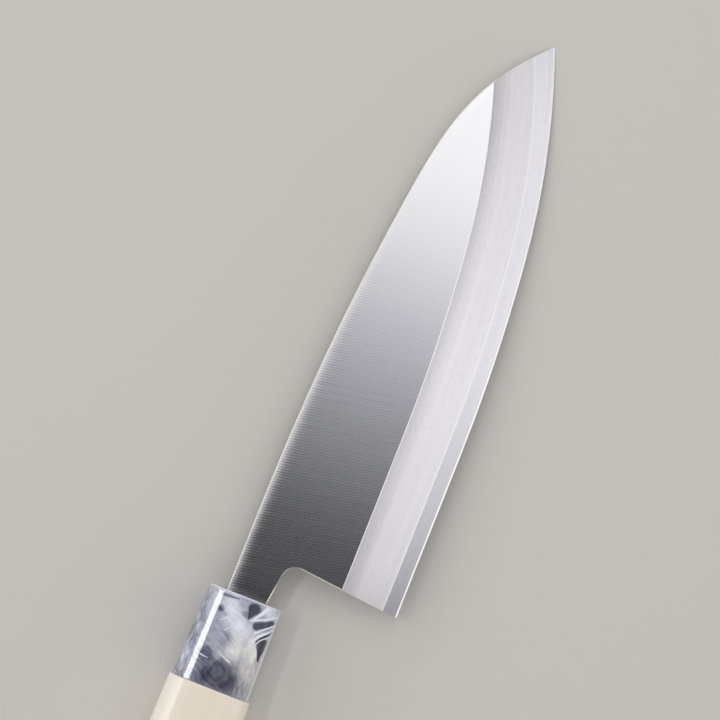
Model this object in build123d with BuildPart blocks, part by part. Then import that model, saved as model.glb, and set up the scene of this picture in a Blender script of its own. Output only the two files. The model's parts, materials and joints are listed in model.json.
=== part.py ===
from build123d import *
import os
from math import cos, radians, sin, sqrt, tan

os.makedirs("parts", exist_ok=True)

# A deba: a heavy single-bevel fish knife for the right hand. It is drawn straight, with the
# tip towards +X, the spine towards +Y and the bevel face up. The handle's centreline is the
# X axis, and the front of the ferrule is at X = 0. At the end every piece is laid down together.

# Blade outline
heel_setback = 9.8  # front of the ferrule to the heel corner
edge_length = 165.2  # heel corner to tip, along the knife
blade_height = 46.8  # spine to edge at the heel
spine_rise = 5.6  # spine above the handle's centreline
tip_drop = 29.1  # tip below the straight part of the spine
tip_fall_share = 0.95  # fall of the spine at the tip, per length
heel_lean = 5.6  # degrees that the heel leans forward from the corner up
neck_height = 11.7  # at the ferrule
neck_fall = 1.7  # how much the neck deepens towards the notch
notch_radius = 4.0  # where the neck turns down into the heel
edge_straight_share = 0.29  # of the edge length, straight from the heel
belly_share = 0.645  # of the edge length, where the edge starts to rise faster
belly_rise_share = 0.0705  # of the blade height, rise of the edge there
spine_start_share = 0.062  # of the edge length, where the spine starts to fall
spine_shares = [(0.391, 0.052), (0.672, 0.206), (0.824, 0.371), (0.909, 0.589)]

# Blade thickness
blade_thickness = 4.5  # from the neck to the middle
tip_thickness = 3.25  # at the tip, before the bevel
taper_start_share = 0.485  # of the edge length, where the blade starts to thin
core_thickness = 1.2  # hard layer on the back

# Single bevel, measured in from the cutting edge
bevel_width = 17.1  # edge to ridge line
crown_width = 3.5  # rounded part of the bevel, next to the ridge line
crown_drop = 0.08  # how far the rounding falls below the flat part's line
micro_width = 0.35  # small steeper bevel along the edge
micro_rise = 0.2  # its height above the back
edge_land = 0.05  # thickness of the very edge
bevel_station_shares = [-0.08, 0.04, 0.16, 0.28, 0.4, 0.52, 0.64, 0.74, 0.83, 0.92, 1.0, 1.1]

# Hollow of the back, as left by a large wheel
wheel_radius = 400.0
back_rim = 2.6  # flat rim along spine and edge
run_out = 0.12  # how far the wheel has lifted off at both ends of the hollow
hollow_start_share = 0.03  # of the edge length
hollow_end_share = 0.985
hollow_station_shares = [0.1, 0.22, 0.4, 0.58, 0.72, 0.83, 0.91]

arris = 0.3  # eased edges of spine, neck and notch

# Tang, hidden in the handle
tang_shoulder = 0.2  # where it starts to taper, in front of the ferrule
tang_length = 86.0  # behind the front of the ferrule
tang_end_height = 6.0
tang_end_thickness = 3.0
bedding_gap = 0.8  # resin round the tang

# Handle section: a chestnut shape, with a flat underside and a ridge on the bevel side. Its places
# are shares of the half height, towards the spine, and of the half thickness, towards the bevel side
section_thickness_share = 0.86  # of the height
ridge_drop_share = 0.035  # how far the ridge's flat falls towards the spine side
spine_bulge_shares = (1, 0)
low_corner_shares = (0.8, -1)  # the underside's two corners, before they are rounded
edge_bulge_shares = (-1, 0)
top_corner_shares = (-0.8, 0.76)  # where the bevel side turns down to the edge side
top_bulge_shares = (-0.15, 0.97)
low_round_share = 0.47  # of the half height
top_round_share = 0.5

# Ferrule
ferrule_length = 27.2
ferrule_front_height = 21.3
ferrule_back_height = 22.6
ferrule_front_round = 0.7
ferrule_back_round = 0.15
ferrule_ridge_shares = (0.56, 0.7)  # where the ridge's flat starts and ends
ferrule_ridge_round = 0.1
ferrule_front_wall = 6.0
ferrule_wall = 2.4  # round the socket, at the front

# Wooden handle
wood_length = 105.6
wood_front_height = 24.0
wood_butt_height = 27.6
wood_front_round = 0.5
wood_butt_round = 1.6
wood_ridge_shares = (0.62, 0.76)
wood_ridge_round = 2.0  # softer than the ferrule's ridge
tenon_clearance = 0.1  # glue film round the tenon and at its end

round_steps = 4  # bands round a rim
length_steps = 3  # bands along a grip

cut_overrun = 2.0  # every cut runs on this far past the material
wall_slant_share = 0.01  # walls and broad faces are told apart by their normal's upward part
broad_slant_share = 0.99

# Places worked out from the sizes
back_z = -blade_thickness / 2
face_z = blade_thickness / 2
core_z = back_z + core_thickness
edge_y = spine_rise - blade_height
tip_x = heel_setback + edge_length
taper_x = heel_setback + taper_start_share * edge_length
neck_y = spine_rise - neck_height
neck_centre = spine_rise - neck_height / 2
notch_y = neck_y - neck_fall
notch_x = heel_setback + (notch_y - edge_y) * tan(radians(heel_lean))
heel = (heel_setback, edge_y)
tip = (tip_x, spine_rise - tip_drop)
straight_end = (heel_setback + edge_straight_share * edge_length, edge_y)
belly = (heel_setback + belly_share * edge_length, edge_y + belly_rise_share * blade_height)
bore_end = tang_length + bedding_gap
tip_loss = blade_thickness - tip_thickness
taper_run = tip_x - taper_x
taper_radius = (taper_run**2 + tip_loss**2) / (2 * tip_loss)
tenon_height = ferrule_front_height - 2 * (ferrule_wall + tenon_clearance)
tenon_length = ferrule_length - ferrule_front_wall - tenon_clearance


def thickness_at(x):
    """Blade thickness at x: full to the start of the taper, then falling along a large arc."""
    run = max(x - taper_x, 0)
    return blade_thickness - (taper_radius - sqrt(taper_radius**2 - run**2))


def chestnut_section(height, ridge_shares, ridge_round):
    """The handle's section, spine side towards local +X and bevel face towards local +Y."""
    near_share, far_share = ridge_shares
    half = height / 2
    deep = half * section_thickness_share

    def place(shares):
        return (shares[0] * half, shares[1] * deep)

    spine_corner = place(low_corner_shares)
    edge_corner = (-spine_corner[0], spine_corner[1])
    near, far = place((near_share, 1)), place((far_share, 1 - ridge_drop_share))
    top_corner = place(top_corner_shares)
    with BuildSketch() as section:
        with BuildLine():
            Line(edge_corner, spine_corner)
            ThreePointArc(spine_corner, place(spine_bulge_shares), far)
            Line(far, near)
            ThreePointArc(near, place(top_bulge_shares), top_corner)
            ThreePointArc(top_corner, place(edge_bulge_shares), edge_corner)
        make_face()
        fillet(section.vertices().group_by(Axis.Y)[0], radius=half * low_round_share)
        corner = section.vertices().sort_by_distance((*top_corner, 0))[0]
        fillet(corner, radius=half * top_round_share)
        ridge = section.vertices().sort_by_distance((*near, 0))[:2]
        fillet(ridge, radius=ridge_round)
    return section.sketch


def grip(length, heights, rounds, ridge_shares, ridge_round):
    """A tapering length of the handle, from X = 0 back, with both rims rounded in flat bands."""
    front_height, back_height = heights
    front_round, back_round = rounds
    growth = (back_height - front_height) / length
    turns = [radians(90 * step / round_steps) for step in range(round_steps + 1)]
    stations = [(front_round * (1 - cos(turn)), front_round * (1 - sin(turn))) for turn in turns]
    body_length = length - front_round - back_round
    for step in range(1, length_steps):
        stations.append((front_round + body_length * step / length_steps, 0))
    for turn in reversed(turns):
        stations.append((length - back_round * (1 - cos(turn)), back_round * (1 - sin(turn))))
    with BuildPart() as body:
        for along, inset in stations:
            with BuildSketch(Plane.YZ.offset(-along)):
                height = front_height + growth * along - 2 * inset
                add(chestnut_section(height, ridge_shares, ridge_round))
        loft(ruled=True)
    return body.part


def tang_section(x, gap):
    """The tang's rectangle at x, grown by a gap on every side."""
    share = (tang_shoulder - x) / (tang_shoulder + tang_length)
    height = neck_height + (tang_end_height - neck_height) * share
    thickness = blade_thickness + (tang_end_thickness - blade_thickness) * share
    with BuildSketch() as section:
        with Locations((neck_centre * (1 - share), 0)):
            Rectangle(height + 2 * gap, thickness + 2 * gap)
    return section.sketch


def tang_taper(front, back, gap):
    """The tang's tapering length between two places, grown by a gap on every side."""
    with BuildPart() as taper:
        for x in (front, back):
            with BuildSketch(Plane.YZ.offset(x)):
                add(tang_section(x, gap))
        loft(ruled=True)
    return taper.part


# The cutting edge: straight from the heel, then two arcs up to the tip
with BuildLine(Plane.XY.offset(back_z)) as cutting_edge:
    straight = Line(heel, straight_end)
    first_rise = TangentArc(straight_end, belly, tangent=straight % 1)
    TangentArc(belly, tip, tangent=first_rise % 1)
edge_wire = cutting_edge.wire()


def edge_plane(share):
    """The plane square to the cutting edge at a share of its length, local x towards the spine."""
    inside = min(max(share, 0), 1)
    along = edge_wire % inside
    origin = edge_wire @ inside + along * (share - inside) * edge_wire.length
    return Plane(origin, x_dir=Vector(0, 0, 1).cross(along), z_dir=along)


# The blade seen from the bevel side
with BuildSketch(Plane.XY.offset(back_z - cut_overrun)) as outline:
    with BuildLine():
        add(cutting_edge.line.moved(Location((0, 0, -back_z))))
        spine_start = (heel_setback + spine_start_share * edge_length, spine_rise)
        spine_points = [
            (heel_setback + along * edge_length, spine_rise - drop * tip_drop)
            for along, drop in spine_shares
        ]
        Spline(spine_start, *spine_points, tip, tangents=[(1, 0), (1, -tip_fall_share)])
        Polyline(
            spine_start, (tang_shoulder, spine_rise), (tang_shoulder, neck_y), (notch_x, notch_y), heel
        )
    make_face()
    fillet(outline.vertices().sort_by_distance((notch_x, notch_y, 0))[0], radius=notch_radius)


def blade_span(x):
    """Lowest and highest y of the blade's outline at x."""
    ruler = Edge.make_line((x, -blade_height), (x, blade_height))
    ends = outline.sketch_local.face().intersect(ruler).vertices().sort_by(Axis.Y)
    return ends[0].Y, ends[-1].Y


# What the grinder takes off for the bevel, with the small edge bevel below it
with BuildPart() as bevel_waste:
    for share in bevel_station_shares:
        station = edge_plane(share)
        ridge_height = thickness_at((station.origin + station.x_dir * bevel_width).X)
        grind_slope = (ridge_height + crown_drop - micro_rise) / (bevel_width - micro_width)
        micro_slope = (micro_rise - edge_land) / micro_width
        crown_start = bevel_width - crown_width
        top = blade_thickness + cut_overrun
        with BuildSketch(station):
            with BuildLine():
                outside = (-cut_overrun, edge_land - cut_overrun * micro_slope)
                shoulder = (micro_width, micro_rise)
                crown = (crown_start, micro_rise + (crown_start - micro_width) * grind_slope)
                Line(outside, shoulder)
                flat = Line(shoulder, crown)
                rounding = TangentArc(crown, (bevel_width, ridge_height), tangent=flat % 1)
                above = rounding @ 1 + (rounding % 1) * cut_overrun
                Polyline(rounding @ 1, above, (above.X, top), (-cut_overrun, top), outside)
            make_face()
    loft()

# What the wheel takes off the back: round across, lifting off at the heel and near the tip
with BuildPart() as hollow_waste:
    stations = [(hollow_start_share, 0)] + [(share, 1) for share in hollow_station_shares]
    for share, grinds in stations + [(hollow_end_share, 0)]:
        x = heel_setback + share * edge_length
        low, high = blade_span(x)
        width = high - low - 2 * back_rim
        rise = width**2 / (8 * wheel_radius) if grinds else -run_out
        deep = rise + cut_overrun
        reach = sqrt(2 * wheel_radius * deep - deep**2)
        middle = (low + high) / 2
        with BuildSketch(Plane.YZ.offset(x)):
            with BuildLine():
                arc = ThreePointArc(
                    (middle - reach, back_z - cut_overrun),
                    (middle, back_z + rise),
                    (middle + reach, back_z - cut_overrun),
                )
                Line(arc @ 1, arc @ 0)
            make_face()
    loft()

# The whole forging: side profile trimmed to the outline, tang added, then ground
with BuildPart() as forging:
    with BuildSketch(Plane.XZ):
        with BuildLine():
            taper = TangentArc((taper_x, face_z), (tip_x, face_z - tip_loss), tangent=(1, 0))
            Polyline(
                taper @ 1,
                (tip_x + cut_overrun, face_z - tip_loss),
                (tip_x + cut_overrun, back_z),
                (-cut_overrun, back_z),
                (-cut_overrun, face_z),
                taper @ 0,
            )
        make_face()
    extrude(amount=blade_height, both=True)
    add(outline.sketch)
    extrude(amount=blade_thickness + 2 * cut_overrun, mode=Mode.INTERSECT)
    walls = forging.faces().filter_by(lambda face: abs(face.normal_at().Z) < wall_slant_share)
    broad = forging.faces().filter_by(lambda face: abs(face.normal_at().Z) > broad_slant_share)
    rims = (broad.edges() & walls.edges()).filter_by(
        lambda edge: edge.center().Y > notch_y - notch_radius and edge.center().X > tang_shoulder + arris
    )
    chamfer(rims, length=arris)
    add(bevel_waste.part, mode=Mode.SUBTRACT)
    add(hollow_waste.part, mode=Mode.SUBTRACT)
    add(tang_taper(tang_shoulder, -tang_length, 0))

# The soft stainless body of the blade with the upper layer of the tang
with BuildPart() as blade_cladding:
    add(forging.part)
    split(bisect_by=Plane.XY.offset(core_z), keep=Keep.TOP)

# The hard-steel layer on the back, out to the edge
with BuildPart() as blade_core:
    add(forging.part)
    split(bisect_by=Plane.XY.offset(core_z), keep=Keep.BOTTOM)

# Plastic ferrule: a tapering cap with a socket for the wood and a slot for the tang
with BuildPart() as ferrule:
    ferrule_heights = (ferrule_front_height, ferrule_back_height)
    ferrule_rounds = (ferrule_front_round, ferrule_back_round)
    add(grip(ferrule_length, ferrule_heights, ferrule_rounds, ferrule_ridge_shares, ferrule_ridge_round))
    with BuildSketch(Plane.YZ.offset(-ferrule_front_wall)):
        socket_height = tenon_height + 2 * tenon_clearance
        add(chestnut_section(socket_height, ferrule_ridge_shares, ferrule_ridge_round))
    extrude(amount=-ferrule_length, mode=Mode.SUBTRACT)
    add(tang_taper(cut_overrun, -bore_end, bedding_gap), mode=Mode.SUBTRACT)

# Wooden handle: it widens to the butt, and its tenon fills the ferrule
with BuildPart() as handle:
    wood_heights = (wood_front_height, wood_butt_height)
    wood_rounds = (wood_front_round, wood_butt_round)
    wood = grip(wood_length, wood_heights, wood_rounds, wood_ridge_shares, wood_ridge_round)
    add(wood.moved(Location((-ferrule_length, 0, 0))))
    with BuildSketch(Plane.YZ.offset(-ferrule_length)):
        add(chestnut_section(tenon_height, ferrule_ridge_shares, ferrule_ridge_round))
    extrude(amount=tenon_length)
    add(tang_taper(cut_overrun, -bore_end, bedding_gap), mode=Mode.SUBTRACT)

# Resin that fills the bore round the tang
with BuildPart() as tang_bedding:
    add(tang_taper(0, -bore_end, bedding_gap))
    add(tang_taper(tang_shoulder, -tang_length, 0), mode=Mode.SUBTRACT)

# Every piece is laid down on the table, with the origin under the middle of the knife. It rests on
# its tip and on the flat underside of the wood's front rim, with the butt in the air
rest_drop = wood_front_height / 2 * section_thickness_share + back_z
rest_dip = rest_drop / (tip_x + ferrule_length + wood_front_round)
table = Plane((0, 0, 0), x_dir=(1, 0, rest_dip), z_dir=(-rest_dip, 0, 1))
pieces = (blade_cladding, blade_core, ferrule, handle, tang_bedding)
for piece in pieces:
    piece.part.move(table.location.inverse())
boxes = [piece.part.bounding_box() for piece in pieces]
middle_x = (min(box.min.X for box in boxes) + max(box.max.X for box in boxes)) / 2
middle_y = (min(box.min.Y for box in boxes) + max(box.max.Y for box in boxes)) / 2
lowest = min(box.min.Z for box in boxes)
for piece in pieces:
    piece.part.move(Location((-middle_x, -middle_y, -lowest)))

blade_cladding.part.label = "blade_cladding"
export_step(blade_cladding.part, "parts/blade_cladding.step")
blade_core.part.label = "blade_core"
export_step(blade_core.part, "parts/blade_core.step")
ferrule.part.label = "ferrule"
export_step(ferrule.part, "parts/ferrule.step")
handle.part.label = "handle"
export_step(handle.part, "parts/handle.step")
tang_bedding.part.label = "tang_bedding"
export_step(tang_bedding.part, "parts/tang_bedding.step")
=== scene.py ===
"""A deba knife on a studio table: its finishes, its light and its camera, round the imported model."""

import json
import logging
import math
from dataclasses import dataclass, field

import bpy
from mathutils import Matrix, Vector

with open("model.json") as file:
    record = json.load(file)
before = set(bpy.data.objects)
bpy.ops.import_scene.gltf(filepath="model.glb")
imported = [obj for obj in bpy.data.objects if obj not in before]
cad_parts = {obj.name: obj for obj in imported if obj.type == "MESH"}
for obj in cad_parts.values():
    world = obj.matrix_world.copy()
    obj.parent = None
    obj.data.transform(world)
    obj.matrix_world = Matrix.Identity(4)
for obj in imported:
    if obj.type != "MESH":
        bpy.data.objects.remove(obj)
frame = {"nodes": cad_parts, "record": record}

MM = 0.001  # one millimetre, in the scene's metres
WAVE = math.pi / 10  # length of one wave of the wave texture, at a scale of one
MEAN = 0.5  # the level round which noises and waves swing
LOG = logging.getLogger("deba")
Pair = tuple[float, float]
Ramp = tuple[float, float, float, float]  # two readings and the level at each, as MapRange takes them


def linear(colour: str) -> tuple[float, float, float, float]:
    """Turn an sRGB hex colour into linear light.

    Args:
        colour: six hex digits, as in "d8cdb9".

    Returns:
        Red, green, blue and an alpha of one.
    """
    parts = [int(colour[i : i + 2], 16) / 255 for i in (0, 2, 4)]
    red, green, blue = [p / 12.92 if p <= 0.04045 else ((p + 0.055) / 1.055) ** 2.4 for p in parts]
    return red, green, blue, 1.0


def add_node(
    tree: bpy.types.NodeTree, kind: str, inputs: dict | tuple = (), **settings: object
) -> bpy.types.Node:
    """Add a shader node with its settings and links.

    Args:
        tree: the node tree that the node goes into.
        kind: the node's type, without its ShaderNode prefix.
        inputs: what goes into its sockets, by name or number, or in their order. Each is a value, or
            the socket or node that feeds it. A Mix node takes its share as 0, and 2 and 3 are mixed.
        settings: the node's own properties.

    Returns:
        The new node. Where it feeds another as a node, its first output does.
    """
    node = tree.nodes.new("ShaderNode" + kind)
    for name, value in settings.items():
        setattr(node, name, value)
    for key, value in inputs.items() if isinstance(inputs, dict) else enumerate(inputs):
        if isinstance(value, bpy.types.Node):
            value = value.outputs[0]
        if isinstance(value, bpy.types.NodeSocket):
            tree.links.new(value, node.inputs[key])
        else:
            node.inputs[key].default_value = value
    return node


@dataclass(frozen=True)
class KnifeFrame:
    """The knife's own axes in the scene: x to the tip, y to the spine, z out of the bevel face, in mm."""

    flat: tuple[float, float, float] = (60.0, -8.0, 2.25)  # the mount on the flat, in these axes
    matrix: Matrix = field(init=False)

    def __post_init__(self) -> None:
        """Work the axes out from the mount on the blade's flat."""
        mount = next(m for m in frame["record"]["mounts"] if m["name"] == "blade_flat")
        up = Vector(mount["axis"]).normalized()
        across = Vector((0, 1, 0))
        along = across.cross(up)
        turn = Matrix((along, across, up)).transposed()
        origin = Vector(mount["pos_m"]) - turn @ Vector(self.flat) * MM
        object.__setattr__(self, "matrix", Matrix.Translation(origin) @ (turn * MM).to_4x4())

    @property
    def along(self) -> Vector:
        """The way to the tip, in the scene."""
        return self.matrix.col[0].xyz.normalized()

    @property
    def across(self) -> Vector:
        """The way to the spine, in the scene."""
        return self.matrix.col[1].xyz.normalized()

    @property
    def up(self) -> Vector:
        """The way out of the bevel face, in the scene."""
        return self.matrix.col[2].xyz.normalized()

    def place(self, x: float, y: float, z: float = 0.0) -> Vector:
        """Give the scene's place, in metres, of a place on the knife in mm."""
        return self.matrix @ Vector((x, y, z))

    def coordinates(self, tree: bpy.types.NodeTree) -> bpy.types.Node:
        """Add the knife's own coordinates, in mm, to a material.

        Args:
            tree: the material's node tree.

        Returns:
            The node that carries them.
        """
        inverse = self.matrix.inverted()
        here = add_node(tree, "TexCoord").outputs["Object"]
        return add_node(tree, "Mapping", (here, inverse.translation, inverse.to_euler(), inverse.to_scale()))


KNIFE = KnifeFrame()


@dataclass(frozen=True)
class BladeLines:
    """The blade's drawn lines, in mm: the edge is a straight and two arcs, and the spine a curve."""

    heel_x: float = 9.8
    edge_length: float = 165.2
    spine_y: float = 5.6
    height: float = 46.8
    tip_drop: float = 29.1
    straight_share: float = 0.29  # of the edge length
    belly_share: float = 0.645
    belly_rise_share: float = 0.0705  # of the height
    bevel_width: float = 17.1
    core_z: float = -1.05  # where the hard layer ends
    spine_shares: tuple[Pair, ...] = (
        (0.0, 0.0), (0.062, 0.0), (0.391, 0.052), (0.672, 0.206), (0.824, 0.371), (0.909, 0.589),
    )  # of the edge length, and of the tip's drop

    @property
    def edge_y(self) -> float:
        """The straight part of the cutting edge."""
        return self.spine_y - self.height

    @property
    def joints(self) -> list[Vector]:
        """Work out where the edge's lines meet.

        Returns:
            Where its straight ends, where its two arcs meet, and its tip.
        """
        straight_x = self.heel_x + self.straight_share * self.edge_length
        belly_x = self.heel_x + self.belly_share * self.edge_length
        belly_y = self.edge_y + self.belly_rise_share * self.height
        tip = (self.heel_x + self.edge_length, self.spine_y - self.tip_drop)
        return [Vector((straight_x, self.edge_y)), Vector((belly_x, belly_y)), Vector(tip)]

    def inset(self, tree: bpy.types.NodeTree, place: bpy.types.Node) -> bpy.types.Node:
        """Add the distance in from the cutting edge, in mm.

        Args:
            tree: the material's node tree.
            place: the knife's own coordinates.

        Returns:
            The node that carries the distance.
        """
        plan = add_node(tree, "VectorMath", (place, (1, 1, 0)), operation="MULTIPLY")
        y = add_node(tree, "SeparateXYZ", (place,)).outputs["Y"]
        inset = add_node(tree, "Math", (y, self.edge_y), operation="SUBTRACT")
        heading = Vector((1, 0))
        for start, end in zip(self.joints[:-1], self.joints[1:]):
            left = Vector((-heading.y, heading.x))
            chord = end - start
            radius = chord.length_squared / (2 * left.dot(chord))
            centre = start + left * radius
            away = add_node(tree, "VectorMath", (plan, (*centre, 0)), operation="DISTANCE")
            arc = add_node(tree, "Math", (radius, away.outputs["Value"]), operation="SUBTRACT")
            ahead = add_node(tree, "VectorMath", (plan, (*heading, 0)), operation="DOT_PRODUCT")
            passed = (ahead.outputs["Value"], start.dot(heading))
            passed = add_node(tree, "Math", passed, operation="GREATER_THAN")
            inset = add_node(tree, "Mix", {0: passed, 2: inset, 3: arc})
            spoke = (end - centre) / radius
            heading = Vector((-spoke.y, spoke.x))
        return inset

    def below_spine(self, tree: bpy.types.NodeTree, place: bpy.types.Node) -> bpy.types.Node:
        """Add the distance down from the spine, in mm, across the knife.

        Args:
            tree: the material's node tree.
            place: the knife's own coordinates.

        Returns:
            The node that carries the distance.
        """
        parts = add_node(tree, "SeparateXYZ", (place,))
        share = (parts.outputs["X"], self.heel_x, self.heel_x + self.edge_length)
        curve = add_node(tree, "FloatCurve", {"Value": add_node(tree, "MapRange", share)})
        points = curve.mapping.curves[0].points
        points[0].location = self.spine_shares[0]
        for shares in self.spine_shares[1:]:
            points.new(*shares)
        curve.mapping.update()
        spine = add_node(tree, "Math", (curve, -self.tip_drop, self.spine_y), operation="MULTIPLY_ADD")
        return add_node(tree, "Math", (spine, parts.outputs["Y"]), operation="SUBTRACT")


BLADE = BladeLines()


def new_material(name: str) -> tuple[bpy.types.Material, bpy.types.NodeTree, bpy.types.Node]:
    """Start a node material.

    Args:
        name: what the material is and how it was made.

    Returns:
        The material, its node tree and its Principled shader.
    """
    material = bpy.data.materials.new(name)
    material.use_nodes = True
    tree = material.node_tree
    return material, tree, tree.nodes["Principled BSDF"]


@dataclass(frozen=True)
class StainlessCladding:
    """Soft stainless steel: the flat is ground across, so fine cross lines stretch its highlights along
    the knife, and the bevel is ground lengthwise on a wet wheel to a pale satin that spreads them across.

    Ramps are in mm, along the knife unless they say otherwise.
    """

    dark: str = "9a9a9e"
    light: str = "f6f6f7"
    burnished: str = "ffffff"  # painted highlight along the ridge, and the weld's lighter line
    eased: str = "fff9ef"  # painted highlight on the rounded edges and ridges
    shaded: str = "6c6a68"  # painted shade on the rims of the notch and heel that face the edge's side
    roughness: float = 0.2
    eased_roughness: float = 0.42
    stretch: float = 0.7  # how far the grinding draws the highlights out

    line_pitch: float = 0.76  # mm between the grinding lines across the flat
    line_run: float = 70.0  # mm that a line keeps its strength
    line_lean: float = 0.18  # mm that a line leans towards the tip, per mm towards the edge
    line_drift: float = 0.8  # how much the even lines wander
    line_detail: float = 0.5  # scale of that wandering
    grit_scale: float = 0.7  # grains to each line
    grit_share: float = 0.4  # how much single grains break the even lines up
    line_depths: Ramp = (6.5, 1.0, 0.55, 1.6)  # below the spine: the lines are strongest beside it
    line_lengths: Ramp = (110.0, 0.0, 0.04, 0.85)  # they fade out towards the tip
    flat_tones: Ramp = (48.0, 14.0, 0.5, 0.26)  # painted shade: the flat is drawn darker towards the neck
    rolled_depths: Ramp = (5.0, 0.2, 0.0, 1.0)  # below the spine: a bright band where the belt rolled off
    rolled_power: float = 4.0  # how steeply that band fades away from the spine
    rolled_lengths: Ramp = (15.0, 55.0, 0.9, 1.0)  # it is a little weaker on the neck

    satin_pitch: float = 0.5  # mm between the bevel's lines, drawn coarser than the real grit to show
    satin_run: float = 60.0  # mm along one line
    satin_bump: float = 0.0015  # mm deep
    band_pitch: float = 2.6  # mm between the broader bands of the wheel's passes
    band_run: float = 120.0  # mm along one band
    band_share: float = 0.5  # of the bands in the pattern
    mottle: float = 1.1  # mm across one spot of the bevel's fine mottling
    mottle_share: float = 0.3  # of the mottling in it
    satin_tones: Ramp = (0.25, 0.75, 0.575, 0.785)  # from the pattern's level to the tone
    ridge_shade: Ramp = (12.0, BLADE.bevel_width, 0.0, 0.28)  # in from the edge: painted shade, darker beside the ridge
    glow_rise: Ramp = (30.0, 75.0, 0.0, 0.09)  # painted highlight: the satin is drawn palest half way along,
    glow_fall: Ramp = (80.0, 150.0, 0.09, -0.07)  # and falls to painted shade by the tip

    ridge_blend: float = 0.05  # mm to either side over which the flat turns into the bevel
    ridge_line_inset: float = 0.1  # mm from the ridge to the middle of its painted highlight
    ridge_line: Ramp = (0.2, 0.08, 0.0, 0.75)  # off the middle of that line
    weld_line: Ramp = (0.22, 0.05, 0.0, 0.3)  # above the hard layer
    steep: Ramp = (0.93, 0.85, 0.0, 1.0)  # upward part of the normal: the rounded rims, for their painted highlight and their roughness
    edge_side: Ramp = (0.1, -0.1, 0.0, 1.0)  # spineward part of the normal: the painted shade falls on rims that face the edge's side
    notch: Ramp = (3.0, 7.0, 0.0, 0.75)  # where the painted shade on the rims begins

    def rolled(self, tree: bpy.types.NodeTree, place: bpy.types.Node) -> bpy.types.Node:
        """Add the bright band beside the spine.

        Args:
            tree: the material's node tree.
            place: the knife's own coordinates.

        Returns:
            The node that carries its strength.
        """
        x = add_node(tree, "SeparateXYZ", (place,)).outputs["X"]
        depth = BLADE.below_spine(tree, place)
        band = add_node(tree, "MapRange", (depth, *self.rolled_depths))
        band = add_node(tree, "Math", (band, self.rolled_power), operation="POWER")
        reach = add_node(tree, "MapRange", (x, *self.rolled_lengths))
        return add_node(tree, "Math", (band, reach), operation="MULTIPLY")

    def flat_tone(
        self, tree: bpy.types.NodeTree, place: bpy.types.Node, rolled: bpy.types.Node
    ) -> bpy.types.Node:
        """Add the flat's tone: even lines from the belt, broken up, strongest by the spine and neck, with
        painted shade darkening it towards the neck.

        Args:
            tree: the material's node tree.
            place: the knife's own coordinates.
            rolled: the strength of the band beside the spine.

        Returns:
            The node that carries the tone, from dark to light.
        """
        parts = add_node(tree, "SeparateXYZ", (place,))
        x, y, z = (parts.outputs[axis] for axis in "XYZ")
        leaned = add_node(tree, "Math", (y, self.line_lean, x), operation="MULTIPLY_ADD")
        leaned = add_node(tree, "CombineXYZ", (leaned, y, z))
        run_scale = (1, 1 / self.line_run, 1 / self.line_run)
        crosswise = add_node(tree, "Mapping", {"Vector": leaned, "Scale": run_scale})
        belt = {"Vector": crosswise, "Scale": WAVE / self.line_pitch, "Distortion": self.line_drift}
        belt |= {"Detail": 1.0, "Detail Scale": self.line_detail}
        even = add_node(tree, "TexWave", belt).outputs["Fac"]
        grit = add_node(tree, "Mapping", {"Vector": crosswise, "Scale": (1 / self.line_pitch, 1, 1)})
        grit = add_node(tree, "TexNoise", {"Vector": grit, "Scale": self.grit_scale, "Detail": 0.0})
        lines = add_node(tree, "Mix", {0: self.grit_share, 2: even, 3: grit})
        swing = add_node(tree, "Math", (lines, MEAN), operation="SUBTRACT")
        depth = BLADE.below_spine(tree, place)
        by_depth = add_node(tree, "MapRange", (depth, *self.line_depths), interpolation_type="SMOOTHSTEP")
        by_length = add_node(tree, "MapRange", (x, *self.line_lengths))
        contrast = add_node(tree, "Math", (by_depth, by_length), operation="MULTIPLY")
        # painted shade: the tone falls towards the neck
        plain = add_node(tree, "MapRange", (x, *self.flat_tones), interpolation_type="SMOOTHSTEP")
        plain = add_node(tree, "Mix", {0: rolled, 2: plain, 3: 1.0})
        return add_node(tree, "Math", (swing, contrast, plain), operation="MULTIPLY_ADD")

    def satin(self, tree: bpy.types.NodeTree, place: bpy.types.Node, inset: bpy.types.Node) -> bpy.types.Node:
        """Add the bevel's satin, drawn along the edge, and its mottling.

        Args:
            tree: the material's node tree.
            place: the knife's own coordinates.
            inset: the distance in from the edge.

        Returns:
            The node that carries the pattern.
        """
        x = add_node(tree, "SeparateXYZ", (place,)).outputs["X"]
        track = add_node(tree, "CombineXYZ", (x, inset))
        scale = (1 / self.satin_run, 1 / self.satin_pitch, 1)
        fine = add_node(tree, "Mapping", {"Vector": track, "Scale": scale})
        fine = add_node(tree, "TexNoise", {"Vector": fine, "Scale": 1.0, "Detail": 3.0})
        scale = (1 / self.band_run, 1 / self.band_pitch, 1)
        bands = add_node(tree, "Mapping", {"Vector": track, "Scale": scale})
        bands = add_node(tree, "TexNoise", {"Vector": bands, "Scale": 1.0, "Detail": 1.0})
        mottling = add_node(tree, "TexNoise", {"Vector": place, "Scale": 1 / self.mottle, "Detail": 2.0})
        satin = add_node(tree, "Mix", {0: self.band_share, 2: fine, 3: bands})
        return add_node(tree, "Mix", {0: self.mottle_share, 2: satin, 3: mottling})

    def bevel_tone(
        self, tree: bpy.types.NodeTree, x: bpy.types.NodeSocket, inset: bpy.types.Node, satin: bpy.types.Node
    ) -> bpy.types.Node:
        """Add the bevel's tone: its satin, with painted shade beside the ridge, a painted highlight half way
        along and painted shade by the tip.

        Args:
            tree: the material's node tree.
            x: the place along the knife.
            inset: the distance in from the edge.
            satin: the satin's pattern.

        Returns:
            The node that carries the tone, from dark to light.
        """
        tone = add_node(tree, "MapRange", (satin, *self.satin_tones))
        shade = add_node(tree, "MapRange", (inset, *self.ridge_shade))
        tone = add_node(tree, "Math", (tone, shade), operation="SUBTRACT")
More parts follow.
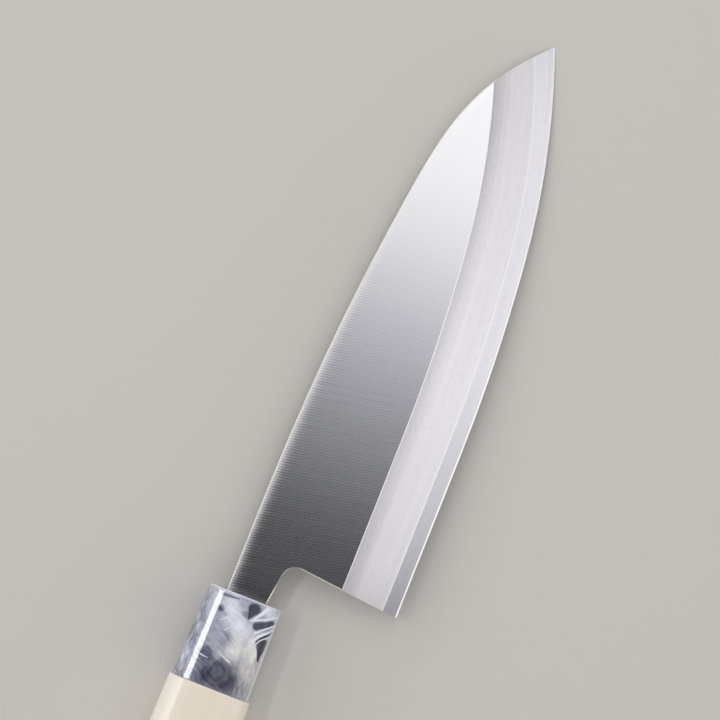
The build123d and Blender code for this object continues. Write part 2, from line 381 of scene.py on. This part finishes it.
        # painted highlight half way along, falling to painted shade by the tip
        rise = add_node(tree, "MapRange", (x, *self.glow_rise))
        fall = add_node(tree, "MapRange", (x, *self.glow_fall))
        bevel_highlight = add_node(tree, "Math", (rise, fall), operation="MINIMUM")
        return add_node(tree, "Math", (tone, bevel_highlight), operation="ADD")

    def burnish(
        self, tree: bpy.types.NodeTree, z: bpy.types.NodeSocket, inset: bpy.types.Node
    ) -> bpy.types.Node:
        """Add the painted highlight along the ridge, and the lighter line of the weld.

        Args:
            tree: the material's node tree.
            z: the height on the knife.
            inset: the distance in from the edge.

        Returns:
            The node that carries their strength.
        """
        # painted highlight along the ridge
        middle = BLADE.bevel_width - self.ridge_line_inset
        off_ridge = add_node(tree, "Math", (inset, middle), operation="SUBTRACT")
        off_ridge = add_node(tree, "Math", (off_ridge,), operation="ABSOLUTE")
        ridge = add_node(tree, "MapRange", (off_ridge, *self.ridge_line))
        above = add_node(tree, "Math", (z, BLADE.core_z), operation="SUBTRACT")
        weld = add_node(tree, "MapRange", (above, *self.weld_line), interpolation_type="SMOOTHSTEP")
        return add_node(tree, "Math", (ridge, weld), operation="MAXIMUM")

    def rims(
        self, tree: bpy.types.NodeTree, x: bpy.types.NodeSocket
    ) -> tuple[bpy.types.Node, bpy.types.Node]:
        """Add the painted highlight on the rounded rims, with painted shade on those that face the edge's
        side from the notch on.

        Args:
            tree: the material's node tree.
            x: the place along the knife.

        Returns:
            The node that carries where they are, and the one that carries their painted highlight and shade.
        """
        normal = add_node(tree, "NewGeometry").outputs["Normal"]
        upward = add_node(tree, "VectorMath", (normal, KNIFE.up), operation="DOT_PRODUCT")
        steep = add_node(tree, "MapRange", (upward.outputs["Value"], *self.steep))
        spineward = add_node(tree, "VectorMath", (normal, KNIFE.across), operation="DOT_PRODUCT")
        edge_side = add_node(tree, "MapRange", (spineward.outputs["Value"], *self.edge_side))
        notch = add_node(tree, "MapRange", (x, *self.notch))
        notch_shade_mask = add_node(tree, "Math", (edge_side, notch), operation="MULTIPLY")
        return steep, add_node(tree, "MixRGB", (notch_shade_mask, linear(self.eased), linear(self.shaded)))

    def material(self) -> bpy.types.Material:
        """Build the material.

        Returns:
            The material.
        """
        material, tree, shader = new_material("stainless_steel_ground")
        place = KNIFE.coordinates(tree)
        inset = BLADE.inset(tree, place)
        parts = add_node(tree, "SeparateXYZ", (place,))
        x, z = parts.outputs["X"], parts.outputs["Z"]
        rolled = self.rolled(tree, place)
        satin = self.satin(tree, place, inset)
        steep, eased = self.rims(tree, x)
        ridge = (BLADE.bevel_width + self.ridge_blend, BLADE.bevel_width - self.ridge_blend)
        bevel = add_node(tree, "MapRange", (inset, *ridge))
        tones = {2: self.flat_tone(tree, place, rolled), 3: self.bevel_tone(tree, x, inset, satin)}
        tone = add_node(tree, "Mix", {0: bevel} | tones)
        steel = add_node(tree, "MixRGB", (tone, linear(self.dark), linear(self.light)))
        highlight_and_weld = self.burnish(tree, z, inset)
        # painted highlight along the ridge, and the weld's lighter line
        steel = add_node(tree, "MixRGB", (highlight_and_weld, steel, linear(self.burnished)))
        # painted highlight on the rims, with painted shade on those that face the edge's side
        steel = add_node(tree, "MixRGB", (steep, steel, eased))
        off_bevel = add_node(tree, "Math", (1.0, bevel), operation="SUBTRACT")
        blurred = add_node(tree, "Math", (rolled, off_bevel), operation="MULTIPLY")
        blurred = add_node(tree, "Math", (steep, blurred), operation="MAXIMUM")
        gloss = add_node(tree, "Mix", {0: blurred, 2: self.roughness, 3: self.eased_roughness})
        grain = add_node(tree, "MixRGB", (bevel, (*KNIFE.along, 1), (*KNIFE.across, 1)))
        depth = self.satin_bump * MM
        bump = add_node(tree, "Bump", {"Strength": bevel, "Distance": depth, "Height": satin})
        shader.inputs["Metallic"].default_value = 1.0
        shader.inputs["Anisotropic"].default_value = self.stretch
        tree.links.new(steel.outputs[0], shader.inputs["Base Color"])
        tree.links.new(gloss.outputs[0], shader.inputs["Roughness"])
        tree.links.new(bump.outputs[0], shader.inputs["Normal"])
        tree.links.new(grain.outputs[0], shader.inputs["Tangent"])
        return material


@dataclass(frozen=True)
class HardCore:
    """High-carbon steel, hardened: finer grained than its cladding, so the strip along the edge is smoother
    and bluer.
    It is drawn darker at the heel as painted shade, with a painted highlight along the honed line at the very
    edge."""

    dark: str = "a9abb2"
    light: str = "eceef2"
    temper: Ramp = (8.0, 85.0, 0.12, 0.76)  # mm along the knife: painted shade, darker at the heel and pale by the belly
    roughness: float = 0.2
    # painted highlight along the very edge
    honed: str = "ffffff"
    honed_width: float = 0.42  # mm
    honed_blend: float = 0.06  # mm over which it ends
    worn: Ramp = (70.0, 150.0, 1.0, 0.3)  # mm along the knife: the painted highlight at the very edge is fainter by the tip
    satin_pitch: float = 0.4  # mm between its lines, drawn coarser than the real grit to show
    satin_run: float = 70.0  # mm along one line
    satin_swing: float = 0.4  # how much the pattern moves the tone
    satin_bump: float = 0.003  # mm deep
    bump_strength: float = 0.5
    mottle: float = 1.6  # mm across one spot
    mottle_share: float = 0.4  # of the mottling in the pattern

    def material(self) -> bpy.types.Material:
        """Build the material.

        Returns:
            The material.
        """
        material, tree, shader = new_material("carbon_steel_honed")
        place = KNIFE.coordinates(tree)
        inset = BLADE.inset(tree, place)
        x = add_node(tree, "SeparateXYZ", (place,)).outputs["X"]
        track = add_node(tree, "CombineXYZ", (x, inset))
        scale = (1 / self.satin_run, 1 / self.satin_pitch, 1)
        satin = add_node(tree, "Mapping", {"Vector": track, "Scale": scale})
        satin = add_node(tree, "TexNoise", {"Vector": satin, "Scale": 1.0, "Detail": 3.0})
        mottling = add_node(tree, "TexNoise", {"Vector": place, "Scale": 1 / self.mottle, "Detail": 2.0})
        satin = add_node(tree, "Mix", {0: self.mottle_share, 2: satin, 3: mottling})
        # painted shade: darker at the heel, pale by the belly
        temper = add_node(tree, "MapRange", (x, *self.temper))
        swing = add_node(tree, "Math", (satin, MEAN), operation="SUBTRACT")
        tone = add_node(tree, "Math", (swing, self.satin_swing, temper), operation="MULTIPLY_ADD")
        steel = add_node(tree, "MixRGB", (tone, linear(self.dark), linear(self.light)))
        # painted highlight along the very edge, fainter by the tip
        honed = add_node(tree, "MapRange", (inset, self.honed_width + self.honed_blend, self.honed_width))
        worn = add_node(tree, "MapRange", (x, *self.worn))
        honed = add_node(tree, "Math", (honed, worn), operation="MULTIPLY")
        steel = add_node(tree, "MixRGB", (honed, steel, linear(self.honed)))
        relief = {"Strength": self.bump_strength, "Distance": self.satin_bump * MM, "Height": satin}
        bump = add_node(tree, "Bump", relief)
        shader.inputs["Metallic"].default_value = 1.0
        shader.inputs["Roughness"].default_value = self.roughness
        tree.links.new(steel.outputs[0], shader.inputs["Base Color"])
        tree.links.new(bump.outputs[0], shader.inputs["Normal"])
        return material


@dataclass(frozen=True)
class Cloud:
    """A soft cloud of pearl, or with a negative weight a clear dark pocket, in the marbled plastic."""

    place: Pair
    reach: Pair  # mm, half sizes
    weight: float


@dataclass(frozen=True)
class Vein:
    """A thread of pearl, or with a low level a clear dark wedge, between two places."""

    start: Pair
    end: Pair
    widths: Pair  # mm, half widths at its start and its end
    level: float  # from dark to light


@dataclass(frozen=True)
class MarbledPearl:
    """Cast acrylic with pearl and smoke swirled in: milky clouds drift over clear dark depths, under a
    hard polish that draws crisp highlights. Ramps are in mm across the knife unless they say otherwise."""

    tones: tuple[str, ...] = ("2b2e3e", "525462", "8a8b97", "bebfc7", "e5e5e3", "fbfbff")
    ground: float = 0.58  # the plain mix of pearl and smoke, from dark to light
    drift: float = 4.5  # mm across the swell that draws the clouds about
    drift_reach: float = 2.6  # mm that it draws them about
    vein_drift: float = 0.3  # how far the veins are drawn about, as a share of the clouds
    streak_run: float = 3.4  # mm along a streak
    streak_width: float = 0.8  # mm across it
    streak_turns: Pair = (62.0, 8.0)  # degrees from the knife's length, on the top and down the sides
    streak_bend: Ramp = (-2.5, -6.5, 0.0, 1.0)  # where they swing round on the edge's side
    streak_weight: float = 0.55  # how far they move the tone
    streak_fray: float = 0.55  # how rough their sides are
    streak_curl: float = 0.3  # how far they curl
    vein_streak_share: float = 0.25  # of that weight, over the veins
    facet: Ramp = (8.0, 8.8, 0.0, 1.0)  # where the facet beside the spine begins
    facet_streak_shares: Pair = (0.75, 1.9)  # of the weight, off the facet and on it
    facet_drop: float = 0.13  # painted shade: how much darker the facet beside the spine is drawn
    swirl: Pair = (-22.3, -0.5)  # mm, the middle of the dark swirl
    ring_pitch: float = 2.0  # mm between the swirl's rings
    ring_drift: float = 7.0  # how far they are drawn out of round
    rings: Ramp = (7.0, 3.5, 0.0, 0.06)  # mm from the swirl's middle
    calm: Ramp = (3.0, 7.0, 0.45, 1.0)  # mm from it: the streaks are fainter there
    cloud_fade: Pair = (1.25, 0.35)  # shares of its reach over which a cloud fades in
    vein_fade: Pair = (1.0, 0.45)  # shares of its half width over which a vein does
    tints: tuple[str, str] = ("f3f5ff", "fffcf4")  # cool over all but the edge side's rear, which is warm
    warm_side: Ramp = (6.0, -8.0, 0.0, 1.0)  # the warm tint sets in towards the edge
    warm_rear: Ramp = (-7.0, -15.0, 0.0, 1.0)  # and, in mm along the knife, towards the wood
    rim: str = "eef0f6"  # painted highlight on the polished rims
    front_rim: Ramp = (0.35, 0.6, 0.0, 1.0)  # part of the normal towards the tip
    side_rim: Ramp = (0.95, 0.98, 0.0, 0.7)  # part of the normal towards the edge's side
    roughness: float = 0.06
    ior: float = 1.49  # acrylic's own
    depth_weight: float = 0.1  # how much light enters the plastic
    depth_radii: tuple[float, float, float] = (1.0, 1.0, 1.1)  # how far red, green and blue travel in it
    depth_scale: float = 0.6  # mm, times those
    clouds: tuple[Cloud, ...] = (
        Cloud((-3.1, 3.4), (3.2, 3.0), 0.26),
        Cloud((-6.6, 0.4), (3.6, 3.2), 0.28),
        Cloud((-10.4, -2.4), (4.6, 3.4), 0.24),
        Cloud((-15.6, -2.4), (3.6, 3.0), 0.18),
        Cloud((-13.0, -7.4), (4.4, 2.2), 0.24),
        Cloud((-1.6, -8.4), (2.0, 2.6), 0.20),
        Cloud((-19.5, -8.2), (4.5, 2.6), 0.06),
        Cloud((-3.0, 9.0), (6.0, 2.4), 0.10),
        Cloud((-10.5, 4.4), (5.0, 2.6), -0.02),
        Cloud((-5.3, 5.2), (1.3, 1.1), -0.34),
        Cloud((-18.6, 4.6), (2.6, 2.2), -0.26),
        Cloud((-22.8, -1.0), (6.2, 6.0), -0.34),
        Cloud((-22.3, -0.6), (2.0, 2.0), 0.03),
        Cloud((-12.9, -1.0), (2.4, 2.8), -0.14),
        Cloud((-4.7, -1.6), (1.5, 1.5), -0.24),
        Cloud((-18.0, 0.9), (1.8, 1.2), 0.14),
        Cloud((-22.0, 10.5), (5.5, 2.4), 0.12),
        Cloud((-24.6, 4.4), (4.0, 3.6), -0.18),
        Cloud((-25.0, -6.6), (4.6, 4.4), -0.15),
    )
    veins: tuple[Vein, ...] = (
        Vein((-5.4, -3.0), (-2.4, -3.5), (0.3, 2.3), 0.06),
        Vein((-6.6, -5.6), (-4.4, -9.6), (1.4, 1.0), 0.12),
        Vein((-9.0, -8.4), (-7.0, -10.4), (0.5, 0.6), 0.1),
        Vein((-15.6, -9.8), (-10.2, -8.6), (0.2, 2.0), 0.05),
        Vein((-1.4, 6.2), (-1.2, 1.4), (0.6, 0.2), 0.36),
        Vein((-5.2, -4.3), (-1.0, -7.0), (0.35, 0.9), 0.95),
        Vein((-5.6, -3.9), (-2.2, -10.8), (0.25, 0.42), 1.0),
        Vein((-8.4, -6.0), (-6.3, -8.3), (0.4, 0.25), 0.9),
        Vein((-6.3, -8.3), (-4.1, -11.0), (0.25, 0.3), 1.0),
        Vein((-12.8, -6.4), (-10.8, -6.4), (0.2, 0.6), 0.88),
        Vein((-10.8, -6.4), (-8.9, -7.3), (0.6, 0.6), 0.92),
        Vein((-8.9, -7.3), (-6.0, -10.4), (0.55, 0.25), 0.98),
        Vein((-12.2, -7.2), (-10.0, -8.0), (0.15, 0.22), 0.9),
        Vein((-10.0, -8.0), (-7.4, -10.6), (0.22, 0.2), 0.98),
        Vein((-8.6, 4.2), (-7.0, 2.4), (0.12, 0.2), 0.92),
        Vein((-10.6, 2.0), (-9.2, 0.6), (0.2, 0.12), 0.94),
        Vein((-17.2, 0.6), (-18.4, -2.4), (0.15, 0.3), 0.9),
        Vein((-19.2, 5.8), (-19.5, 3.6), (0.3, 0.1), 0.9),
    )

    def cloud_field(self, tree: bpy.types.NodeTree, place: bpy.types.Node) -> bpy.types.Node:
        """Sum the clouds and pockets up.

        Args:
            tree: the material's node tree.
            place: the drawn-about coordinates in mm.

        Returns:
            The node that carries the sum.
        """
        total = add_node(tree, "Value")
        total.outputs[0].default_value = self.ground
        for cloud in self.clouds:
            offset = add_node(tree, "VectorMath", (place, (*cloud.place, 0)), operation="SUBTRACT")
            unit = add_node(tree, "VectorMath", (offset, (*cloud.reach, 1)), operation="DIVIDE")
            away = add_node(tree, "VectorMath", (unit,), operation="LENGTH").outputs["Value"]
            fade = (away, *self.cloud_fade, 0.0, cloud.weight)
            inside = add_node(tree, "MapRange", fade, interpolation_type="SMOOTHSTEP")
            total = add_node(tree, "Math", (total, inside), operation="ADD")
        return total

    def swirl_field(self, tree: bpy.types.NodeTree, place: bpy.types.Node) -> bpy.types.Node:
        """Add the rings of the dark swirl.

        Args:
            tree: the material's node tree.
            place: the drawn-about coordinates in mm.

        Returns:
            The node that carries them, round zero.
        """
        offset = add_node(tree, "VectorMath", (place, (*self.swirl, 0)), operation="SUBTRACT")
        away = add_node(tree, "VectorMath", (offset,), operation="LENGTH").outputs["Value"]
        waves = {"Vector": offset, "Scale": WAVE / self.ring_pitch}
        waves |= {"Distortion": self.ring_drift, "Detail": 3.0}
        waves = add_node(tree, "TexWave", waves, wave_type="RINGS", rings_direction="Z")
        swing = add_node(tree, "Math", (waves.outputs["Fac"], MEAN), operation="SUBTRACT")
        inside = add_node(tree, "MapRange", (away, *self.rings), interpolation_type="SMOOTHSTEP")
        return add_node(tree, "Math", (swing, inside), operation="MULTIPLY")

    def streak_field(
        self,
        tree: bpy.types.NodeTree,
        drawn: bpy.types.Node,
        plan: bpy.types.Node,
        bent: bpy.types.Node,
    ) -> bpy.types.Node:
        """Add the fine streaks, which are fainter in the swirl.

        Args:
            tree: the material's node tree.
            drawn: the drawn-about coordinates in mm.
            plan: the same, laid flat.
            bent: how far the streaks have swung round.

        Returns:
            The node that carries them, round zero.
        """
        fields = []
        for turn in self.streak_turns:
            turned = add_node(tree, "Mapping", {"Vector": drawn, "Rotation": (0, 0, -math.radians(turn))})
            scale = (1 / self.streak_run, 1 / self.streak_width, 1 / self.streak_run)
            turned = add_node(tree, "Mapping", {"Vector": turned, "Scale": scale})
            noise = {"Vector": turned, "Scale": 1.0, "Detail": 4.0}
            noise |= {"Roughness": self.streak_fray, "Distortion": self.streak_curl}
            fields.append(add_node(tree, "TexNoise", noise))
        streak = add_node(tree, "Mix", {0: bent, 2: fields[0], 3: fields[1]})
        swing = add_node(tree, "Math", (streak, MEAN), operation="SUBTRACT")
        away = add_node(tree, "VectorMath", (plan, (*self.swirl, 0)), operation="DISTANCE")
        calm = add_node(tree, "MapRange", (away.outputs["Value"], *self.calm))
        return add_node(tree, "Math", (swing, calm), operation="MULTIPLY")

    def vein_field(
        self, tree: bpy.types.NodeTree, place: bpy.types.Node, total: bpy.types.Node
    ) -> bpy.types.Node:
        """Lay the wedges and veins over the clouds.

        Args:
            tree: the material's node tree.
            place: the drawn-about coordinates in mm.
            total: the clouds' sum.

        Returns:
            The node that carries the new sum.
        """
        for vein in self.veins:
            start, end = Vector((*vein.start, 0)), Vector((*vein.end, 0))
            run = end - start
            offset = add_node(tree, "VectorMath", (place, start), operation="SUBTRACT")
            ahead = add_node(tree, "VectorMath", (offset, run), operation="DOT_PRODUCT").outputs["Value"]
            share = (ahead, run.length_squared)
            share = add_node(tree, "Math", share, operation="DIVIDE", use_clamp=True)
            nearest = add_node(tree, "VectorMath", {0: run, "Scale": share}, operation="SCALE")
            away = add_node(tree, "VectorMath", (offset, nearest), operation="DISTANCE")
            width = add_node(tree, "MapRange", (share, 0.0, 1.0, *vein.widths))
            reach = add_node(tree, "Math", (away.outputs["Value"], width), operation="DIVIDE")
            line = add_node(tree, "MapRange", (reach, *self.vein_fade), interpolation_type="SMOOTHSTEP")
            total = add_node(tree, "Mix", {0: line, 2: total, 3: vein.level})
        return total

    def marbling(self, tree: bpy.types.NodeTree, place: bpy.types.Node) -> bpy.types.Node:
        """Add the whole marbling.

        Args:
            tree: the material's node tree.
            place: the knife's own coordinates.

        Returns:
            The node that carries it, from dark to light.
        """
        swell = add_node(tree, "TexNoise", {"Vector": place, "Scale": 1 / self.drift, "Detail": 5.0})
        push = (swell.outputs["Color"], (MEAN, MEAN, MEAN))
        push = add_node(tree, "VectorMath", push, operation="SUBTRACT")
        push = add_node(tree, "VectorMath", {0: push, "Scale": self.drift_reach}, operation="SCALE")
        drawn = add_node(tree, "VectorMath", (place, push), operation="ADD")
        plan = add_node(tree, "VectorMath", (drawn, (1, 1, 0)), operation="MULTIPLY")
        nudge = add_node(tree, "VectorMath", {0: push, "Scale": self.vein_drift}, operation="SCALE")
        nudged = add_node(tree, "VectorMath", (place, nudge), operation="ADD")
        vein_plan = add_node(tree, "VectorMath", (nudged, (1, 1, 0)), operation="MULTIPLY")
        y = add_node(tree, "SeparateXYZ", (place,)).outputs["Y"]
        facet = add_node(tree, "MapRange", (y, *self.facet))
        bent = add_node(tree, "MapRange", (y, *self.streak_bend))
        bent = add_node(tree, "Math", (bent, facet), operation="MAXIMUM")
        streaks = self.streak_field(tree, drawn, plan, bent)
        swirl = self.swirl_field(tree, plan)
        milk = add_node(tree, "Math", (self.cloud_field(tree, plan), swirl), operation="ADD")
        # painted shade on the facet beside the spine
        milk = add_node(tree, "Math", (facet, -self.facet_drop, milk), operation="MULTIPLY_ADD")
        weights = [share * self.streak_weight for share in self.facet_streak_shares]
        weight = add_node(tree, "MapRange", (facet, 0.0, 1.0, *weights))
        milk = add_node(tree, "Math", (streaks, weight, milk), operation="MULTIPLY_ADD")
        milk = self.vein_field(tree, vein_plan, milk)
        over_veins = self.vein_streak_share * self.streak_weight
        return add_node(tree, "Math", (streaks, over_veins, milk), operation="MULTIPLY_ADD")

    def rims(self, tree: bpy.types.NodeTree) -> bpy.types.Node:
        """Add where the painted highlight on the front and side rims goes.

        Args:
            tree: the material's node tree.

        Returns:
            The node that carries it.
        """
        normal = add_node(tree, "NewGeometry").outputs["Normal"]
        front = add_node(tree, "VectorMath", (normal, KNIFE.along), operation="DOT_PRODUCT")
        front = add_node(tree, "MapRange", (front.outputs["Value"], *self.front_rim))
        side = add_node(tree, "VectorMath", (normal, -KNIFE.across), operation="DOT_PRODUCT")
        side = add_node(tree, "MapRange", (side.outputs["Value"], *self.side_rim))
        return add_node(tree, "Math", (front, side), operation="MAXIMUM")

    def material(self) -> bpy.types.Material:
        """Build the material.

        Returns:
            The material.
        """
        material, tree, shader = new_material("acrylic_marbled_polished")
        place = KNIFE.coordinates(tree)
        colour = add_node(tree, "ValToRGB", (self.marbling(tree, place),))
        ramp = colour.color_ramp.elements
        for step, tone in enumerate(self.tones):
            position = step / (len(self.tones) - 1)
            element = ramp[0] if step == 0 else ramp[-1] if position == 1 else ramp.new(position)
            element.color = linear(tone)
        parts = add_node(tree, "SeparateXYZ", (place,))
        warm = add_node(tree, "MapRange", (parts.outputs["Y"], *self.warm_side))
        rear = add_node(tree, "MapRange", (parts.outputs["X"], *self.warm_rear))
        warm = add_node(tree, "Math", (warm, rear), operation="MULTIPLY")
        tint = add_node(tree, "MixRGB", (warm, *(linear(tint) for tint in self.tints)))
        colour = add_node(tree, "MixRGB", (1.0, colour, tint), blend_type="MULTIPLY")
        # painted highlight on the front and side rims
        colour = add_node(tree, "MixRGB", (self.rims(tree), colour, linear(self.rim)))
        tree.links.new(colour.outputs[0], shader.inputs["Base Color"])
        shader.inputs["Roughness"].default_value = self.roughness
        shader.inputs["IOR"].default_value = self.ior
        shader.inputs["Subsurface Weight"].default_value = self.depth_weight
        shader.inputs["Subsurface Radius"].default_value = self.depth_radii
        shader.inputs["Subsurface Scale"].default_value = self.depth_scale * MM
        return material


@dataclass(frozen=True)
class Magnolia:
    """Magnolia wood, planed and sanded: pale cream, almost without figure, dry and matt to the hand."""

    light: str = "f8eedf"
    dark: str = "ecdfcc"
    grain_width: float = 0.35  # mm, drawn coarser than the real pores to show
    grain_run: float = 24.0  # mm
    grain_bump: float = 0.01  # mm deep
    bump_strength: float = 0.4
    figure_width: float = 2.6  # mm across the faint broader figure
    figure_run: float = 96.0  # mm
    figure_share: float = 0.5  # of the figure in the tone
    rim: str = "fffaf0"  # painted highlight on the sanded front rims and on the facet from the ridge to the spine
    front_rim: Ramp = (0.25, 0.5, 0.0, 0.9)  # part of the normal towards the tip, for the painted highlight on the front rims
    facet: Ramp = (6.5, 8.5, 0.0, 0.5)  # mm across the knife, where the painted highlight on the facet sets in
    roughness: float = 0.28

    def material(self) -> bpy.types.Material:
        """Build the material.

        Returns:
            The material.
        """
        material, tree, shader = new_material("magnolia_sanded")
        place = KNIFE.coordinates(tree)
        scale = (1 / self.grain_run, 1 / self.grain_width, 1 / self.grain_width)
        grain = add_node(tree, "Mapping", {"Vector": place, "Scale": scale})
        grain = add_node(tree, "TexNoise", {"Vector": grain, "Scale": 1.0, "Detail": 4.0})
        scale = (1 / self.figure_run, 1 / self.figure_width, 1 / self.figure_width)
        figure = add_node(tree, "Mapping", {"Vector": place, "Scale": scale})
        figure = add_node(tree, "TexNoise", {"Vector": figure, "Scale": 1.0, "Detail": 2.0})
        tone = add_node(tree, "Mix", {0: self.figure_share, 2: grain, 3: figure})
        colour = add_node(tree, "MixRGB", (tone, linear(self.light), linear(self.dark)))
        normal = add_node(tree, "NewGeometry").outputs["Normal"]
        front = add_node(tree, "VectorMath", (normal, KNIFE.along), operation="DOT_PRODUCT")
        front = add_node(tree, "MapRange", (front.outputs["Value"], *self.front_rim))
        y = add_node(tree, "SeparateXYZ", (place,)).outputs["Y"]
        facet = add_node(tree, "MapRange", (y, *self.facet))
        # painted highlight on the front rims and the facet beside the spine
        wood_highlight = add_node(tree, "Math", (front, facet), operation="MAXIMUM")
        colour = add_node(tree, "MixRGB", (wood_highlight, colour, linear(self.rim)))
        relief = {"Strength": self.bump_strength, "Distance": self.grain_bump * MM, "Height": grain}
        bump = add_node(tree, "Bump", relief)
        tree.links.new(colour.outputs[0], shader.inputs["Base Color"])
        tree.links.new(bump.outputs[0], shader.inputs["Normal"])
        shader.inputs["Roughness"].default_value = self.roughness
        return material


@dataclass(frozen=True)
class Plain:
    """One colour all over, for what shows no pattern of its own."""

    name: str
    colour: str
    roughness: float

    def material(self) -> bpy.types.Material:
        """Build the material.

        Returns:
            The material.
        """
        material, _, shader = new_material(self.name)
        shader.inputs["Base Color"].default_value = linear(self.colour)
        shader.inputs["Roughness"].default_value = self.roughness
        return material


@dataclass(frozen=True)
class Deba:
    """The knife: each of its CAD nodes and the finish that it wears."""

    blade_cladding: StainlessCladding = StainlessCladding()
    blade_core: HardCore = HardCore()
    ferrule: MarbledPearl = MarbledPearl()
    handle: Magnolia = Magnolia()
    tang_bedding: Plain = Plain("epoxy_cast", "70624a", 0.5)  # resin sets to one dull amber brown

    def dress(self) -> None:
        """Give each node its finish."""
        for node, finish in vars(self).items():
            material = finish.material()
            mesh = frame["nodes"][node].data
            mesh.materials.clear()
            mesh.materials.append(material)
            LOG.info("%s: %s", node, material.name)


@dataclass(frozen=True)
class Softbox:
    """A rectangle of soft light, aimed at the knife."""

    name: str
    aim: tuple[float, float, float]  # metres
    lean: float  # degrees from straight above, towards the spine's side
    distance: float  # metres from that place
    size: Pair  # metres along and across the knife
    radiance: float  # brightness of its face, whatever its size
    colours: tuple[str, ...] = ("ffffff",)  # one for each layer of diffuser
    feather: float = 0.0  # metres by which each layer stops short of the last, on the handle's side
    layer_gap: float = 0.005  # metres

    def build(self) -> None:
        """Hang the light, as layers of diffuser that thin out towards the handle."""
        lean = math.radians(self.lean)
        for layer, colour in enumerate(self.colours):
            short = layer * self.feather
            light = bpy.data.lights.new(self.name, "AREA")
            light.shape = "RECTANGLE"
            light.size, light.size_y = self.size[0] - short, self.size[1]
            light.energy = self.radiance / len(self.colours) * math.pi * light.size * light.size_y
            light.color = linear(colour)[:3]
            lamp = bpy.data.objects.new(self.name, light)
            reach = Vector((0, math.sin(lean), math.cos(lean))) * (self.distance + layer * self.layer_gap)
            lamp.location = Vector(self.aim) + reach + Vector((short / 2, 0, 0))
            lamp.rotation_euler = (-lean, 0, 0)
            lamp.visible_camera = False
            bpy.context.scene.collection.objects.link(lamp)
        LOG.info("%s: %d layers", self.name, len(self.colours))


@dataclass(frozen=True)
class Studio:
    """The table, the lights and the camera."""

    centre: Pair = (73.05, -5.15)  # the knife's place in the middle of the picture, mm
    width: float = 201.0  # width of the picture on the knife, mm
    distance: float = 1.5  # camera to knife, metres
    sensor: float = 36.0  # mm
    turn: float = 68.3  # degrees, from the picture's right to the knife's length
    table_half: float = 1.5  # metres
    table_finish: Plain = Plain("painted_board", "cfccc6", 0.7)  # matt, so it shows no lamp
    wall: str = "f6f8ff"
    room_light: Ramp = (0.1, 0.5, 1.1, 0.01)  # upward part of the direction: walls fade into the ceiling
    softboxes: tuple[Softbox, ...] = (
        Softbox(
            "tip_softbox", (0.39, 0, 0), 0.0, 0.45, (0.64, 0.24), 1.68,
            ("f1f2ff", "fefdfc", "fffdf2"),  # the diffuser is coolest where it is thinnest
            feather=0.035,
        ),
        Softbox("edge_softbox", (0.244, -0.02, 0), -36.0, 0.65, (0.5, 0.42), 1.06, ("fffbfd",)),
        Softbox("hone_strip", (-0.15, -0.02, 0), -48.0, 0.8, (0.3, 0.12), 1.0),
        Softbox("low_softbox", (-0.1, 0, 0), -70.0, 0.8, (1.3, 0.35), 0.85),
        Softbox("spine_softbox", (0, 0, 0), 56.0, 0.9, (1.5, 0.6), 1.4),
        Softbox("butt_softbox", (-0.55, -0.15, 0), 0.0, 0.7, (0.5, 0.9), 1.9),
        Softbox("ridge_strip", (0, 0.02, 0), 24.3, 0.6, (0.17, 0.05), 16.0),
    )

    def table(self) -> None:
        """Lay the pale floor."""
        mesh = bpy.data.meshes.new("table")
        signs = ((-1, -1), (1, -1), (1, 1), (-1, 1))
        corners = [(x * self.table_half, y * self.table_half, 0) for x, y in signs]
        mesh.from_pydata(corners, [], [(0, 1, 2, 3)])
        table = bpy.data.objects.new("table", mesh)
        table.data.materials.append(self.table_finish.material())
        bpy.context.scene.collection.objects.link(table)
        LOG.info("table: %s", self.table_finish.name)

    def camera(self) -> None:
        """Set the camera up straight above the knife."""
        data = bpy.data.cameras.new("camera")
        data.sensor_width = self.sensor
        data.lens = self.sensor * self.distance / (self.width * MM)
        camera = bpy.data.objects.new("camera", data)
        camera.location = KNIFE.place(*self.centre) + Vector((0, 0, self.distance))
        camera.rotation_euler = (0, 0, -math.radians(self.turn))
        bpy.context.scene.collection.objects.link(camera)
        bpy.context.scene.camera = camera

    def room(self) -> None:
        """Paint the room: pale walls that fade into a dark ceiling."""
        world = bpy.data.worlds.new("room")
        world.use_nodes = True
        tree = world.node_tree
        direction = add_node(tree, "TexCoord").outputs["Generated"]
        height = add_node(tree, "SeparateXYZ", (direction,)).outputs["Z"]
        strength = add_node(tree, "MapRange", (height, *self.room_light), interpolation_type="SMOOTHSTEP")
        background = tree.nodes["Background"]
        background.inputs["Color"].default_value = linear(self.wall)
        tree.links.new(strength.outputs[0], background.inputs["Strength"])
        bpy.context.scene.world = world

    def build(self) -> None:
        """Set the whole studio up."""
        self.table()
        self.camera()
        self.room()
        for softbox in self.softboxes:
            softbox.build()
        bpy.context.scene.view_settings.view_transform = "Standard"


def main() -> None:
    """Build the scene."""
    logging.basicConfig(level=logging.INFO, format="%(message)s")
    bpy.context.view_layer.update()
    Deba().dress()
    Studio().build()


if __name__ == "__main__":
    main()
